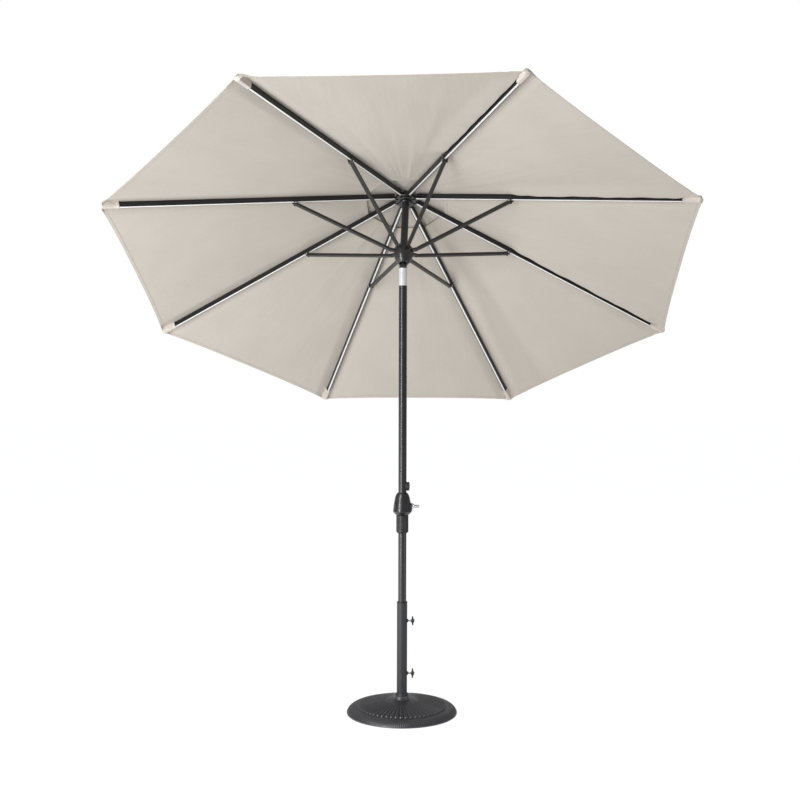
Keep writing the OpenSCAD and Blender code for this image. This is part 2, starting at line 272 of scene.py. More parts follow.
class Look:
    """A Principled material that is put together from small steps."""

    def __init__(self, name, colour, rough, metal=0.0, specular=0.5):
        self.mat = bpy.data.materials.new(name)
        self.mat.use_nodes = True
        self.tree = self.mat.node_tree
        self.shader = self.tree.nodes["Principled BSDF"]
        self.colour = (*linear(*colour), 1)
        self.set("Base Color", self.colour)
        self.set("Roughness", rough)
        self.set("Metallic", metal)
        self.set("Specular IOR Level", specular)
        self.height = None

    def set(self, socket, value):
        self.shader.inputs[socket].default_value = value
        return self

    def link(self, a, b):
        self.tree.links.new(a, b)

    def node(self, kind, **sockets):
        return add_node(self.tree, kind, sockets)

    def place(self, source, stretch):
        """Coordinates in metres, from the object or from a UV map, stretched."""
        if source is None:
            start = self.node("ShaderNodeTexCoord").outputs["Object"]
        else:
            uv = self.node("ShaderNodeUVMap")
            uv.uv_map = source
            start = uv.outputs[0]
        mapping = self.node("ShaderNodeMapping", Scale=stretch)
        self.link(start, mapping.inputs["Vector"])
        return mapping.outputs[0]

    def noise(self, scale, detail, source=None, stretch=(1, 1, 1)):
        """Noise of 0 to 1 with scale features in a metre."""
        made = self.node("ShaderNodeTexNoise", Scale=scale, Detail=detail, Roughness=0.55)
        self.link(self.place(source, stretch), made.inputs["Vector"])
        return made.outputs["Fac"]

    def maths(self, operation, a, b=0.0):
        made = self.node("ShaderNodeMath")
        made.operation = operation
        for k, value in enumerate((a, b)):
            if isinstance(value, (int, float)):
                made.inputs[k].default_value = value
            else:
                self.link(value, made.inputs[k])
        return made.outputs[0]

    def ranged(self, value, low, high, to_low, to_high):
        """The value, taken smoothly from one range to another."""
        sides = {"From Min": low, "From Max": high, "To Min": to_low, "To Max": to_high}
        made = self.node("ShaderNodeMapRange", **sides)
        made.interpolation_type = "SMOOTHSTEP"
        self.link(value, made.inputs["Value"])
        return made.outputs[0]

    def tint(self, share, colour):
        """Paints another colour where share, 0 to 1, is high."""
        mix = self.node("ShaderNodeMix")
        mix.data_type = "RGBA"
        socket = self.shader.inputs["Base Color"]
        if socket.is_linked:
            self.link(socket.links[0].from_socket, mix.inputs["A"])
        else:
            mix.inputs["A"].default_value = self.colour
        mix.inputs["B"].default_value = (*linear(*colour), 1)
        self.link(share, mix.inputs["Factor"])
        self.link(mix.outputs["Result"], socket)
        return self

    def shine(self, share, low, high):
        """Roughness from low to high as share goes from 0.3 to 0.7."""
        self.link(self.ranged(share, 0.3, 0.7, low, high), self.shader.inputs["Roughness"])
        return self

    def uv_parts(self, name):
        """The two coordinates of a UV map."""
        uv = self.node("ShaderNodeUVMap")
        uv.uv_map = name
        split = self.node("ShaderNodeSeparateXYZ")
        self.link(uv.outputs[0], split.inputs[0])
        return split.outputs["X"], split.outputs["Y"]

    def from_middle(self, value, period):
        """Distance from the middle of each period, as a share of it."""
        along = self.maths("FRACT", self.maths("MULTIPLY", value, 1 / period))
        return self.maths("ABSOLUTE", self.maths("SUBTRACT", along, 0.5))

    def coat(self, weight, rough):
        """A clear coat on top."""
        return self.set("Coat Weight", weight).set("Coat Roughness", rough)

    def bump(self, height, distance, strength=1.0):
        """Adds a bump on top of the ones before; distance is the height of the full range."""
        made = self.node("ShaderNodeBump", Strength=strength, Distance=distance)
        if self.height is not None:
            self.link(self.height, made.inputs["Normal"])
        self.link(height, made.inputs["Height"])
        self.height = made.outputs[0]
        self.link(self.height, self.shader.inputs["Normal"])
        return self


def powder_paint(name, colour, light, rough, grain, depth=0.05 * MM, coat=0.0):
    """Baked powder paint: fine orange peel, soft change of gloss and a few lighter rubs."""
    look = Look(name, colour, rough)
    peel = look.noise(grain, 2)
    cloud = look.noise(7, 4)
    rubs = look.noise(60, 5, stretch=(1, 1, 0.15))
    look.tint(look.ranged(cloud, 0.35, 0.75, 0, 0.35), light)
    look.tint(look.ranged(rubs, 0.66, 0.78, 0, 0.3), light)
    look.shine(cloud, rough - 0.05, rough + 0.06)
    look.bump(peel, depth)
    if coat:
        look.coat(coat, 0.25)
    return look.mat


def moulded_plastic(name, colour, rough, coat=0.0):
    """Fine moulded grain with a soft change of gloss."""
    look = Look(name, colour, rough)
    grain = look.noise(1400, 2)
    cloud = look.noise(18, 3)
    look.shine(cloud, rough - 0.04, rough + 0.05)
    look.tint(look.ranged(cloud, 0.4, 0.8, 0, 0.25), [min(255, c + 14) for c in colour])
    look.bump(grain, 0.02 * MM)
    if coat:
        look.coat(coat, 0.22)
    return look.mat


def bright_metal(name, colour, rough, stretch):
    """Bare metal with turning lines, which run square to the stretched direction."""
    look = Look(name, colour, rough, metal=1.0)
    lines = look.noise(500, 3, stretch=stretch)
    look.shine(lines, rough * 0.75, rough * 1.3)
    look.bump(lines, 0.01 * MM)
    return look.mat


def cast_iron():
    """Black enamel over a sand casting: grain, shallow pits, and a painted highlight on the sharp
    high edges.
    """
    look = Look("cast_black", (37, 37, 40), 0.33)
    grain = look.noise(420, 4)
    cloud = look.noise(26, 5)
    pits = look.noise(160, 2)
    look.tint(look.ranged(cloud, 0.4, 0.75, 0, 0.3), (54, 54, 58))
    # painted highlight: the sharp high edges of the ridges and rim are lightened
    edge = look.node("ShaderNodeNewGeometry").outputs["Pointiness"]
    look.tint(look.ranged(edge, 0.5, 0.55, 0, 0.5), (96, 95, 99))
    look.shine(cloud, 0.3, 0.46)
    look.bump(grain, 0.12 * MM)
    look.bump(look.ranged(pits, 0.3, 0.36, 0, 1), 0.1 * MM)
    look.coat(0.2, 0.3)
    return look.mat


def woven(name, colour, dark, light):
    """Solution-dyed outdoor canvas: slubbed yarns both ways, and thread along the stitch lines."""
    look = Look(name, colour, 0.88, specular=0.25)
    warp = look.noise(1, 3, "cloth", (70, 1300, 1))
    weft = look.noise(1, 3, "cloth", (1300, 70, 1))
    slub = look.noise(1, 2, "cloth", (9, 260, 1))
    cloud = look.noise(1, 3, "cloth", (3.1, 3.7, 1))
    look.tint(look.ranged(warp, 0.36, 0.62, 0.35, 0), dark)
    look.tint(look.ranged(weft, 0.38, 0.66, 0, 0.35), light)
    look.tint(look.ranged(slub, 0.58, 0.74, 0, 0.28), dark)
    look.tint(look.ranged(cloud, 0.35, 0.7, 0, 0.25), light)
    look.shine(weft, 0.82, 0.94)
    both = look.maths("ADD", warp, weft)
    look.bump(both, 0.12 * MM, 0.6)
    crease = look.noise(1, 4, "cloth", (3, 32, 1))
    look.bump(crease, 2.2 * MM, 0.6)
    along, away = look.uv_parts("stitch")
    line = look.ranged(look.maths("ABSOLUTE", away), 0.35 * MM, 0.75 * MM, 1, 0)
    dash = look.ranged(look.from_middle(along, 4.5 * MM), 0.34, 0.42, 1, 0)
    thread = look.maths("MULTIPLY", line, dash)
    look.tint(look.maths("MULTIPLY", thread, 0.8), dark)
    look.bump(thread, 0.35 * MM)
    look.set("Sheen Weight", 0.08).set("Sheen Roughness", 0.5)
    return look.mat


def light_diffuser():
    """Frosted cover of a light strip, with the diodes just showing through and a faint painted glow.
    """
    look = Look("led_white", (216, 217, 218), 0.38)
    near_diode = look.from_middle(look.uv_parts("cloth")[0], 25 * MM)
    look.tint(look.ranged(near_diode, 0.02, 0.16, 0.5, 0), (222, 216, 190))
    look.bump(look.noise(900, 2), 0.02 * MM)
    # a faint painted glow that brightens the white cover
    look.set("Emission Color", (*linear(255, 255, 252), 1)).set("Emission Strength", 0.04)
    return look.mat


CANVAS = woven("canvas", (181, 174, 165), (163, 155, 146), (193, 187, 178))
TRIM = woven("canvas_trim", (196, 188, 180), (177, 168, 159), (207, 200, 192))
LOOKS = {
    "cast_black": cast_iron(),
    "stem_paint": powder_paint("stem_paint", (38, 39, 42), (54, 55, 59), 0.42, 650, 0.09 * MM),
    "plastic_black": moulded_plastic("plastic_black", (26, 26, 28), 0.42),
    "steel": bright_metal("steel", (190, 190, 192), 0.3, (1, 0.1, 1)),
    "pole_paint": powder_paint(
        "pole_paint", (28, 28, 31), (40, 40, 44), 0.27, 900, 0.015 * MM, coat=0.15
    ),
    "housing_black": moulded_plastic("housing_black", (20, 20, 23), 0.33, coat=0.4),
    "frame_black": moulded_plastic("frame_black", (28, 28, 30), 0.4),
    "chrome": bright_metal("chrome", (232, 232, 234), 0.09, (0.1, 1, 1)),
    "button_grey": moulded_plastic("button_grey", (72, 72, 75), 0.35),
    "rib_black": powder_paint("rib_black", (24, 24, 25), (35, 35, 36), 0.4, 800),
    "led_white": light_diffuser(),
    "strut_paint": powder_paint("strut_paint", (25, 23, 21), (39, 37, 34), 0.42, 800),
    "canvas": CANVAS,
}


def paint_cad_nodes():
    """Each CAD node keeps its slot and takes that slot's look."""
    for part in frame["nodes"].values():
        for k, old in enumerate(part.data.materials):
            part.material_slots[k].material = LOOKS[old.name.split(".")[0]]


paint_cad_nodes()

# ---------------------------------------------------------------- mesh helpers


def new_object(name, points, faces, mat, maps=None, sharp=40):
    """A smooth closed object. maps holds a 2-D coordinate per vertex for each UV map's name."""
    mesh = bpy.data.meshes.new(name)
    mesh.from_pydata([tuple(p) for p in points], [], faces)
    mesh.validate()
    mesh.shade_smooth()
    mesh.set_sharp_from_angle(angle=math.radians(sharp))
    corner = np.zeros(len(mesh.loops), int)
    mesh.loops.foreach_get("vertex_index", corner)
    for key, uv in (maps or {}).items():
        layer = mesh.uv_layers.new(name=key)
        layer.data.foreach_set("uv", np.asarray(uv, np.float32)[corner].ravel())
    mesh.materials.append(mat)
    turn_outwards(mesh)
    made = bpy.data.objects.new(name, mesh)
    bpy.context.scene.collection.objects.link(made)
    return made


def turn_outwards(mesh):
    """Flips the faces of a closed mesh if they point in, so that its signed volume is positive."""
    mesh.calc_loop_triangles()
    at = np.array([v.co for v in mesh.vertices])
    tri = np.array([t.vertices for t in mesh.loop_triangles])
    a, b, c = at[tri[:, 0]], at[tri[:, 1]], at[tri[:, 2]]
    if np.einsum("ij,ij->i", a, np.cross(b, c)).sum() < 0:
        mesh.flip_normals()


def grid_faces(rows, cols, start=0, flip=False, closed=False):
    """Quads of a grid of rows x cols vertices. closed joins the last column to the first."""
    faces = []
    for r in range(rows - 1):
        for c in range(cols if closed else cols - 1):
            d = (c + 1) % cols
            quad = (r * cols + c, r * cols + d, (r + 1) * cols + d, (r + 1) * cols + c)
            quad = tuple(start + k for k in quad)
            faces.append(quad[::-1] if flip else quad)
    return faces


def shell(name, under, over, maps, mat):
    """A closed thin shell between two grids of points."""
    rows, cols = under.shape[:2]
    count = rows * cols
    faces = grid_faces(rows, cols) + grid_faces(rows, cols, count, flip=True)
    edge = list(range(cols))
    edge += [r * cols + cols - 1 for r in range(1, rows)]
    edge += [(rows - 1) * cols + c for c in range(cols - 2, -1, -1)]
    edge += [r * cols for r in range(rows - 2, 0, -1)]
    for a, b in zip(edge, edge[1:] + edge[:1]):
        faces.append((b, a, a + count, b + count))
    points = np.concatenate([under.reshape(-1, 3), over.reshape(-1, 3)])
    both = {key: np.concatenate([uv.reshape(-1, 2)] * 2) for key, uv in maps.items()}
    return new_object(name, points, faces, mat, both)


def unit_circle(count):
    """Points round a circle of radius 1."""
    turn = np.arange(count) * 2 * math.pi / count
    return np.stack([np.cos(turn), np.sin(turn)], -1)


def turned_ring(outline, count):
    """Points and faces of a closed outline of (radius, height) turned round the z axis."""
    ring = unit_circle(count)
    points = np.concatenate([np.column_stack([ring * r, np.full(count, z)]) for r, z in outline])
    faces = grid_faces(len(outline), count, closed=True)
    last = (len(outline) - 1) * count
    faces += [(c, last + c, last + (c + 1) % count, (c + 1) % count) for c in range(count)]
    return points, faces


def smooth(x, low, high):
    """0 below low, 1 above high, smooth between."""
    t = np.clip((x - low) / (high - low), 0, 1)
    return t * t * (3 - 2 * t)


# ---------------------------------------------------------------- canopy

STRIP = 25 * MM          # half width of the cloth that stays on a rib
POLE_STRIP = 12 * MM     # the same on the two sides that face the pole
POLE_KEEP = 0.07         # share of a wing's width that is left there when the canopy is closed
CLOTH = 1.2 * MM
HEM = 16 * MM            # depth of the sewn hem
EDGE_PULL = 13 * MM      # how far the canopy's edge is drawn in between two tips
BILLOW = 6 * MM          # how far a gore hangs in below its flat cut
TIP_Z = 5.5 * MM         # height of the canopy's corner, on the rib's own scale
SEAM_LINE = 5 * MM       # stitches beside the ridge, and the half width of the seam they hold
SEAM_HALF = 6.2 * MM
STRIP_COLUMNS = np.array([0, 3, 5, 6, 6.4, 8.6, 9.6, 10.8, 12, 15, 20, 25]) * MM
SIN_H, COS_H = math.sin(HALF_GORE), math.cos(HALF_GORE)


class Cone:
    """The eight-sided cone that a set of gores lies on, by its ridge over a rib."""

    def __init__(self, near, far):
        self.near, self.far = np.array(near), np.array(far)
        run = self.far - self.near
        self.length = float(np.hypot(*run))
        self.slope = math.atan2(-run[1], run[0])
        self.turn = math.atan(math.tan(HALF_GORE) * math.sin(self.slope))

    def ridge(self, t):
        """Radius and height at a distance from the near end."""
        return (self.near[0] + t * math.cos(self.slope), self.near[1] - t * math.sin(self.slope))

    def across(self, side):
        """Unit vector in a gore, square to the ridge, in the rib's azimuth of the mast's frame."""
        up = -math.sin(self.turn)
        return np.array(
            [up * math.sin(self.slope), side * math.cos(self.turn), up * math.cos(self.slope)]
        )

    def normal(self, side):
        """Unit normal of a gore, away from the ground side."""
        out = math.sin(self.slope)
        n = np.array([out * COS_H, side * out * SIN_H, math.cos(self.slope) * COS_H])
        return n / np.linalg.norm(n)

    def width(self, r):
        """Distance square to the ridge of the gore's middle line, where the ridge has radius r."""
        along = SIN_H * math.sin(self.turn) * math.sin(self.slope) + COS_H * math.cos(self.turn)
        return r * SIN_H * along

    def surface(self, t, f, side):
        """Point of the flat cut: t along the ridge, f 0 at the ridge and 1 at the gore's middle."""
        r, s = self.ridge(t)
        chord = f * r * SIN_H
        return np.stack([r - chord * SIN_H, side * chord * COS_H, s + 0 * chord], -1)

    def folded_width(self, t):
        """Distance from the ridge where the closed canopy's gores meet at their middle lines."""
        r, s = self.ridge(t)
        foot_r = r - r * SIN_H ** 2 * math.cos(self.slope) ** 2
        foot_s = s + r * SIN_H ** 2 * math.cos(self.slope) * math.sin(self.slope)
        e = self.across(1)
        cos_f, sin_f = math.cos(FOLD_ANGLE), math.sin(FOLD_ANGLE)
        reach = HUB_R + (foot_r - HUB_R) * cos_f + (foot_s - HUB_S) * sin_f
        lean = e[0] * cos_f + e[2] * sin_f
        slope = math.tan(HALF_GORE)
        return slope * reach / (math.cos(self.turn) - slope * lean)

    def closing_keep(self, strip):
        """Share of a wing's width that is left when the closed canopy's wings just meet."""
        full = self.width(self.far[0])
        return (self.folded_width(self.length) - strip) / (full - strip)


def on_rib(x, z):
    """Radius and height in the mast's frame of a point of the rib's middle plane."""
    r = HUB_R + x * math.cos(DROOP) + z * math.sin(DROOP)
    s = HUB_S - x * math.sin(DROOP) + z * math.cos(DROOP)
    return r, s


def main_cone():
    """The gores are stretched from the vent's edge over the ribs to the corners, which sit lower."""
    return Cone(on_rib(VENT_X, CLOTH_LOW), on_rib(TIP_X, TIP_Z))


def cap_cone():
    """The vent cap's gores, from the CAD cap's top opening to its rim."""
    cap = mast_points("vent_cap", azimuth(1))
    top = cap[cap[:, 2] > cap[:, 2].max() - 0.1 * MM]
    r_top, s_top = np.hypot(top[:, 0], top[:, 1]).max(), top[:, 2].max()
    return Cone((r_top, s_top - CLOTH - 0.4 * MM), (cap[:, 0].max(), cap[:, 2].min()))


MAIN, CAP = main_cone(), cap_cone()
CAP_REST = (CAP.far[0] - 12 * MM - MAIN.near[0]) / math.cos(MAIN.slope)
POLE_GORE = {(2, 1), (3, -1)}          # the two sides whose gap lets the pole out when closed
COVERED = {(7, -1), (8, -1), (1, -1)}  # sides where the cloth hangs beside its rib
SLACK_GORES = {6: 2.2, 5: 1.4}         # gores with more wrinkles than the rest
CREASE = 0.85 * MM                     # height of the largest creases
CREASE_WAVES = ((23, 0.9), (41, 0.5), (67, 0.28), (97, 0.16))  # waves in a full turn, and their share
RIB_SIDE = 8.6 * MM                    # distance from a rib's middle at which the cloth leaves it


def gore_of(i, side):
    """Number of the gore on one side of rib i; gore i lies between ribs i and i + 1."""
    return i if side > 0 else (i - 2) % RIB_COUNT + 1


def strip_width(i, side):
    """Half width of rib i's strip on one side; it is narrow beside the pole."""
    return POLE_STRIP if (i, side) in POLE_GORE else STRIP


def rib_hold(t, w, covered):
    """The rib's hold on the cloth, 0 to 1: all over the rib, none at the side or past its end."""
    spread = np.where(covered, 7 * MM, 60 * MM)
    over_end = 1 - smooth(t, MAIN.length - (TIP_X - RIB_END), MAIN.length - 1 * MM)
    return over_end * (1 - smooth(w, RIB_SIDE, RIB_SIDE + spread))


def relief(cone, i, side, t, f):
    """How far the cloth stands off its flat cut, upwards, at rest."""
    r, _ = cone.ridge(t)
    b = np.clip(t / cone.length, 0, 1)
    w = f * cone.width(r)
    up = -BILLOW * smooth(f, 0, 1) * np.sin(math.pi * b) ** 0.8 * (cone.length / MAIN.length)
    up = up + wrinkles(cone, i, side, b, f, w)
    if cone is not MAIN:
        return up
    covered = (i, side) in COVERED
    up = up + (CLOTH_LOW - TIP_Z) * b * rib_hold(t, w, covered)
    if covered:
        # a loose fold beside the rib, 6 to 9 mm deep, from a third of the way out to the pocket
        beside = smooth(w, 8.8 * MM, 13 * MM) * (1 - smooth(w, 15 * MM, 120 * MM))
        span = smooth(t, 0.36, 0.42) * (1 - smooth(t, 1.135, 1.165))
        wave = 1 + 0.2 * np.sin(t / 0.045 + i) + 0.14 * np.sin(t / 0.017 + 2 * i)
        up = up - (10.5 - 5 * b) * MM * beside * span * wave
    return up


def wrinkles(cone, i, side, b, f, w):
    """Shallow creases that run out from the hub, and puckers at the corners."""
    round_mast = azimuth(i) + side * np.arctan2(f * SIN_H * COS_H, 1 - f * SIN_H ** 2)
    gore = gore_of(i, side)
    lines = 0
    for k, (count, size) in enumerate(CREASE_WAVES):
        drift = 2.1 * math.sin(2.1 * k + gore) * np.sin(3.1 * b + k)
        lines = lines + size * np.sin(count * round_mast + 1.7 * k * gore + drift)
    near_hub = 0.35 + 0.9 * np.exp(-b / 0.22)
    fade = smooth(w, 30 * MM, 110 * MM) * smooth(b, 0, 0.05) * (1 - smooth(b, 0.93, 0.995))
    up = CREASE * SLACK_GORES.get(gore, 1.0) * near_hub * fade * lines
    if cone is MAIN:
        # the cap's hem rests on the canopy and shows through
        from_hem = (b * cone.length - CAP_REST) / (5 * MM)
        gathered = smooth(w, 26 * MM, 40 * MM) * (0.7 + 0.3 * np.sin(w / (13 * MM)))
        up = up + 0.9 * MM * np.exp(-from_hem ** 2) * gathered
    corner = smooth(w, 4 * MM, 16 * MM) * (1 - smooth(w, 60 * MM, 140 * MM))
    pucker = np.exp(-((1 - b) / 0.035) ** 2) * corner
    return up + 0.9 * MM * pucker * np.sin(w / (7 * MM) + i)


def cloth_piece(name, cone, i, ts, columns, mat, bands):
    """One piece of cloth by rib i.

    columns gives t, f and side for each row; bands gives the extra thickness below and above.
    """
    row, f, side = columns(ts)
    # the canopy's edge is drawn in between its corners
    drawn = EDGE_PULL * (cone.length / MAIN.length) * (1 - (1 - f) ** 3)
    t = row * (1 - drawn / cone.length)
    r, _ = cone.ridge(t)
    w = f * cone.width(r)
    right = side > 0
    up = np.where(right, relief(cone, i, 1, t, f), relief(cone, i, -1, t, f))
    flat = np.where(right[..., None], cone.surface(t, f, 1), cone.surface(t, f, -1))
    # the thickness stands square to the ridge over the rib, and to the gore beside it
    normal = np.where(right[..., None], cone.normal(1), cone.normal(-1))
    ridge_up = np.array([math.sin(cone.slope), 0, math.cos(cone.slope)])
    normal = ridge_up + (normal - ridge_up) * smooth(w, 0, 40 * MM)[..., None]
    low, high = bands(row, w)
    under = flat + normal * (up - low)[..., None]
    over = flat + normal * (up + CLOTH + high)[..., None]
    slant = math.atan(math.tan(cone.slope) / COS_H)
    gore = np.where(right, gore_of(i, 1), gore_of(i, -1))
    # the weave runs on along a gore, and each gore lies apart on it
    cloth = np.stack([r * COS_H / math.cos(slant) + 3.7 * gore, side * (1 - f) * r * SIN_H], -1)
    stitch = stitches(cone, row, w, (1 - f) * r * SIN_H)
    place = gore_frame(i)
    maps = {"cloth": cloth, "stitch": stitch}
    piece = shell(name, moved(under, place), moved(over, place), maps, mat)
    return piece


def stitches(cone, t, w, along_edge):
    """Thread lines: beside the ridge seam on a strip, else inside the hem and the vent's hem."""
    if w.min() < 1 * MM:
        return np.stack([t, np.abs(w - SEAM_LINE)], -1)
    to_hem = np.abs(t - (cone.length - HEM + 2 * MM))
    to_vent = np.abs(t - (HEM - 2 * MM))
    return np.stack([along_edge, np.minimum(to_hem, to_vent)], -1)


def hem_bands(t, cone):
    """Extra thickness below at the hems."""
    step = 0.5 * MM
    outer = smooth(t, cone.length - HEM - step, cone.length - HEM)
    inner = 1 - smooth(t, HEM, HEM + step)
    return 0.8 * MM * outer + 1.5 * MM * inner


def rows_of(cone, count, start=0.0):
    """Distances along the ridge, with close rows at the two hems and on the stitch lines."""
    step, line = 0.5 * MM, 2 * MM
    far = [cone.length - k for k in (HEM + step, HEM, HEM - line, 11 * MM, 9 * MM)]
    far += [cone.length - k * MM for k in (7.5, 6, 4.5, 3, 1.5, 0)]
    if start == 0.0:
        near = [0, HEM / 2, HEM - line, HEM, HEM + step]
    else:
        near = [start]
    inside = np.linspace(near[-1], far[0], count + 2)[1:-1]
    return np.concatenate([near, inside, far])


def make_strip(kind, cone, i, ts):
    """The cloth over rib i, with the raised seam that joins two gores."""
    def columns(rows):
        width = cone.width(cone.ridge(rows)[0])[:, None]
        left = STRIP_COLUMNS[STRIP_COLUMNS <= strip_width(i, -1) + 1e-6][::-1][:-1]
        right = STRIP_COLUMNS[STRIP_COLUMNS <= strip_width(i, 1) + 1e-6]
        w = np.concatenate([left, right])[None, :]
        side = np.concatenate([-np.ones(len(left)), np.ones(len(right))])[None, :] + 0 * width
        # where the gore is narrower than the strip, the strip takes all of it
        outer = np.where(side > 0, strip_width(i, 1), strip_width(i, -1))
        f = w * np.minimum(1, width / outer) / width
        return rows[:, None] + 0 * f, f, side

    def bands(t, w):
        seam = 0.9 * MM * (1 - smooth(w, SEAM_HALF - 0.3 * MM, SEAM_HALF))
        return hem_bands(t, cone) * (w > 9 * MM), seam

    piece = cloth_piece(f"{kind}_strip_{i}", cone, i, ts, columns, CANVAS, bands)
    return piece


def make_wing(kind, cone, i, side, ts, count):
    """The rest of a half gore, from the strip to the middle."""
    strip = strip_width(i, side)

    def columns(rows):
        width = cone.width(cone.ridge(rows)[0])[:, None]
        share = np.linspace(0, 1, count)[None, :] ** 1.15
        f = strip / width + (1 - strip / width) * share
        return rows[:, None] + 0 * f, f, side + 0 * f

    def bands(t, w):
        return hem_bands(t, cone), 0 * w

    word = "right" if side > 0 else "left"
    piece = cloth_piece(f"{kind}_{word}_{i}", cone, i, ts, columns, CANVAS, bands)
    near, far = (cone.width(cone.ridge(t)[0]) - strip for t in (ts[0], ts[-1]))
    e = cone.across(side)
    r, s = cone.ridge(0.0)
    keep = POLE_KEEP if (i, side) in POLE_GORE else cone.closing_keep(STRIP)
    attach(piece, f"rib_{i}")
    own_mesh(piece)
    return piece


def make_canopy():
    """All the gores, each cut in a strip over its rib and a wing on either side."""
    ts = rows_of(MAIN, 54)
    for i in RIBS:
        strip = make_strip("canopy", MAIN, i, ts)
        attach(strip, f"rib_{i}")
        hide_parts(f"panel_{i}")
        for side in (-1, 1):
            make_wing("canopy", MAIN, i, side, ts, 34)


def make_vent_cap():
    """The small upper canopy: it is clamped under the finial and lies along the ribs."""
    distances = np.arange(0, CAP.length, MM)
    wing_start = next(t for t in distances if CAP.width(CAP.ridge(t)[0]) > 1.05 * STRIP)
    outside = rows_of(CAP, 16, start=wing_start)
    inside = np.linspace(0, wing_start, 10)[:-1]
    for i in RIBS:
        strip = make_strip("vent", CAP, i, np.concatenate([inside, outside]))
        for radius in (32 * MM, 72 * MM):
            r, s = CAP.ridge((radius - CAP.near[0]) / math.cos(CAP.slope))
        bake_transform(strip)
        for side in (-1, 1):
            make_wing("vent", CAP, i, side, outside, 12)
    make_crown()


def make_crown():
    """The reinforcing patch under the vent cap's middle, which shows when the cap folds."""
    drop = 3 * MM
    rim = 76 * MM
    radii = np.array([CAP.near[0], 36 * MM, 48 * MM, 62 * MM, rim])
    height = CAP.near[1] - drop - (radii - CAP.near[0]) * math.tan(CAP.slope) * 1.08
    under = list(zip(radii, height))
    over = [(r, s + CLOTH) for r, s in under]
    points, faces = turned_ring(under + over[::-1], 64)
    flat_map = points[:, :2]
    far_from_thread = flat_map * 0 + 1.0
    maps = {"cloth": flat_map, "stitch": far_from_thread}
    crown = new_object("vent_crown", moved(points, MAST), faces, CANVAS, maps)
    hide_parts("vent_cap")
    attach(crown, "mast")


def cloth_height(i, x, w):
    """Height of the cloth's underside beside rib i, on the rib's own scale, near the corner."""
    side = np.where(w < 0, -1, 1)
    w = np.abs(w)
    covered = np.where(side > 0, (i, 1) in COVERED, (i, -1) in COVERED)
    row = x - VENT_X + w * math.tan(HALF_GORE)
    line = CLOTH_LOW + (TIP_Z - CLOTH_LOW) * (x - VENT_X) / (TIP_X - VENT_X) - w * math.tan(MAIN.turn)
    return line + (CLOTH_LOW - TIP_Z) * rib_hold(row, w, covered)


def make_pocket(i):
    """The sewn pocket that holds a rib's end in the canopy's corner."""
    start, end = LIGHT_X[1] + 0.6 * MM, TIP_X + 0.4 * MM
    # close rows at the hem of the mouth and where the pocket rounds the rib's end
    rows = [0, 5, 6, 20, 34, 46, 56, 63, 68, 71.6, 73, 75, 77, 79, 80.6, end / MM - start / MM]
    x = start + np.array(rows) * MM
    flare = np.interp(rows, [0, 20, 50, 72], [12, 12.6, 17, 20]) * MM
    half = np.minimum(flare, 2.41 * (end - x) + 2.2 * MM)
    low = np.interp(x, [RIB_END, RIB_END + 2 * MM, end], [-6.2, -5.4, 3.6]) * MM
    # half of the section, from the middle of the rib's underside to the line of stitches
    y_half = np.array([0, 4, 7.4, 8.7, 9.2, 9.8, 10.8, 12]) * MM
    share = np.array([0, 0, 0.03, 0.13, 0.34, 0.6, 0.86, 1])
    spread = np.array([0, 0, 0, 0.02, 0.1, 0.3, 0.62, 1])
    narrow = np.minimum(1, half / (12 * MM))[:, None]
    y = y_half[None, :] + (half[:, None] - 12 * MM * narrow) * spread[None, :]
    y = np.where(narrow < 1, y_half[None, :] * narrow, y)
    y = np.concatenate([-y[:, :0:-1], y], 1)
    share = np.concatenate([share[:0:-1], share])
    top = cloth_height(i, x[:, None], y) - 0.2 * MM
    sew = np.where(y < 0, top[:, :1], top[:, -1:])
    phase = 26 * np.array(rows)[:, None] / 60 + 150 * y + i
    wave = 0.5 * MM * np.sin(phase) * np.sin(math.pi * share)[None, :]
    inner_z = low[:, None] + (sew - low[:, None]) * share[None, :]
    inner = np.stack([x[:, None] + 0 * y, y, inner_z], -1)
    wall = 1.2 * MM + 0.7 * MM * (np.array(rows) < 5.5)[:, None]
    out_y = np.sign(y) * np.minimum(1, 2.2 * share)[None, :] * (wall + wave)
    out_z = -(1 - share[None, :]) * (wall + wave)
    outer = np.stack([x[:, None] + 0 * y, y + out_y, inner_z + out_z], -1)
    steps = np.hypot(np.diff(y[0]), np.diff(inner_z[0]))
    girth = np.concatenate([[0], np.cumsum(steps)])
    along = x - start
    cloth = np.stack([along[:, None] + 0 * y + i, girth[None, :] + 0 * y], -1)
    stitch = np.stack([girth[None, :] + 0 * y, np.abs(along[:, None] - 5.5 * MM) + 0 * y], -1)
    maps = {"cloth": cloth, "stitch": stitch}
    place = rib_frame(i)
    pocket = shell(f"rib_pocket_{i}", moved(inner, place), moved(outer, place), maps, TRIM)
    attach(pocket, f"rib_{i}")


make_canopy()
make_vent_cap()
for number in RIBS:
    make_pocket(number)

# ---------------------------------------------------------------- light strips and rivets


def prism(name, profile, x0, x1, place, mat):
    """A closed bar with a (y, z) profile, its ends drawn in by a small bevel."""
    bevel = 0.4 * MM
    profile = np.array(profile)
    centre = profile.mean(0)
    rows = ((x0, 0.85), (x0 + bevel, 1), (x1 - bevel, 1), (x1, 0.85))
    points, uv = [], []
    for x, scale in rows:
        ring = centre + (profile - centre) * scale
        points.append(np.column_stack([np.full(len(ring), x), ring]))
        uv.append(np.column_stack([np.full(len(ring), x), ring[:, 0]]))
    count = len(profile)
    faces = grid_faces(len(rows), count, closed=True)
    faces += [tuple(range(count))[::-1], tuple(range((len(rows) - 1) * count, len(rows) * count))]
    points = moved(np.concatenate(points), place)
    return new_object(name, points, faces, mat, {"cloth": np.concatenate(uv)})


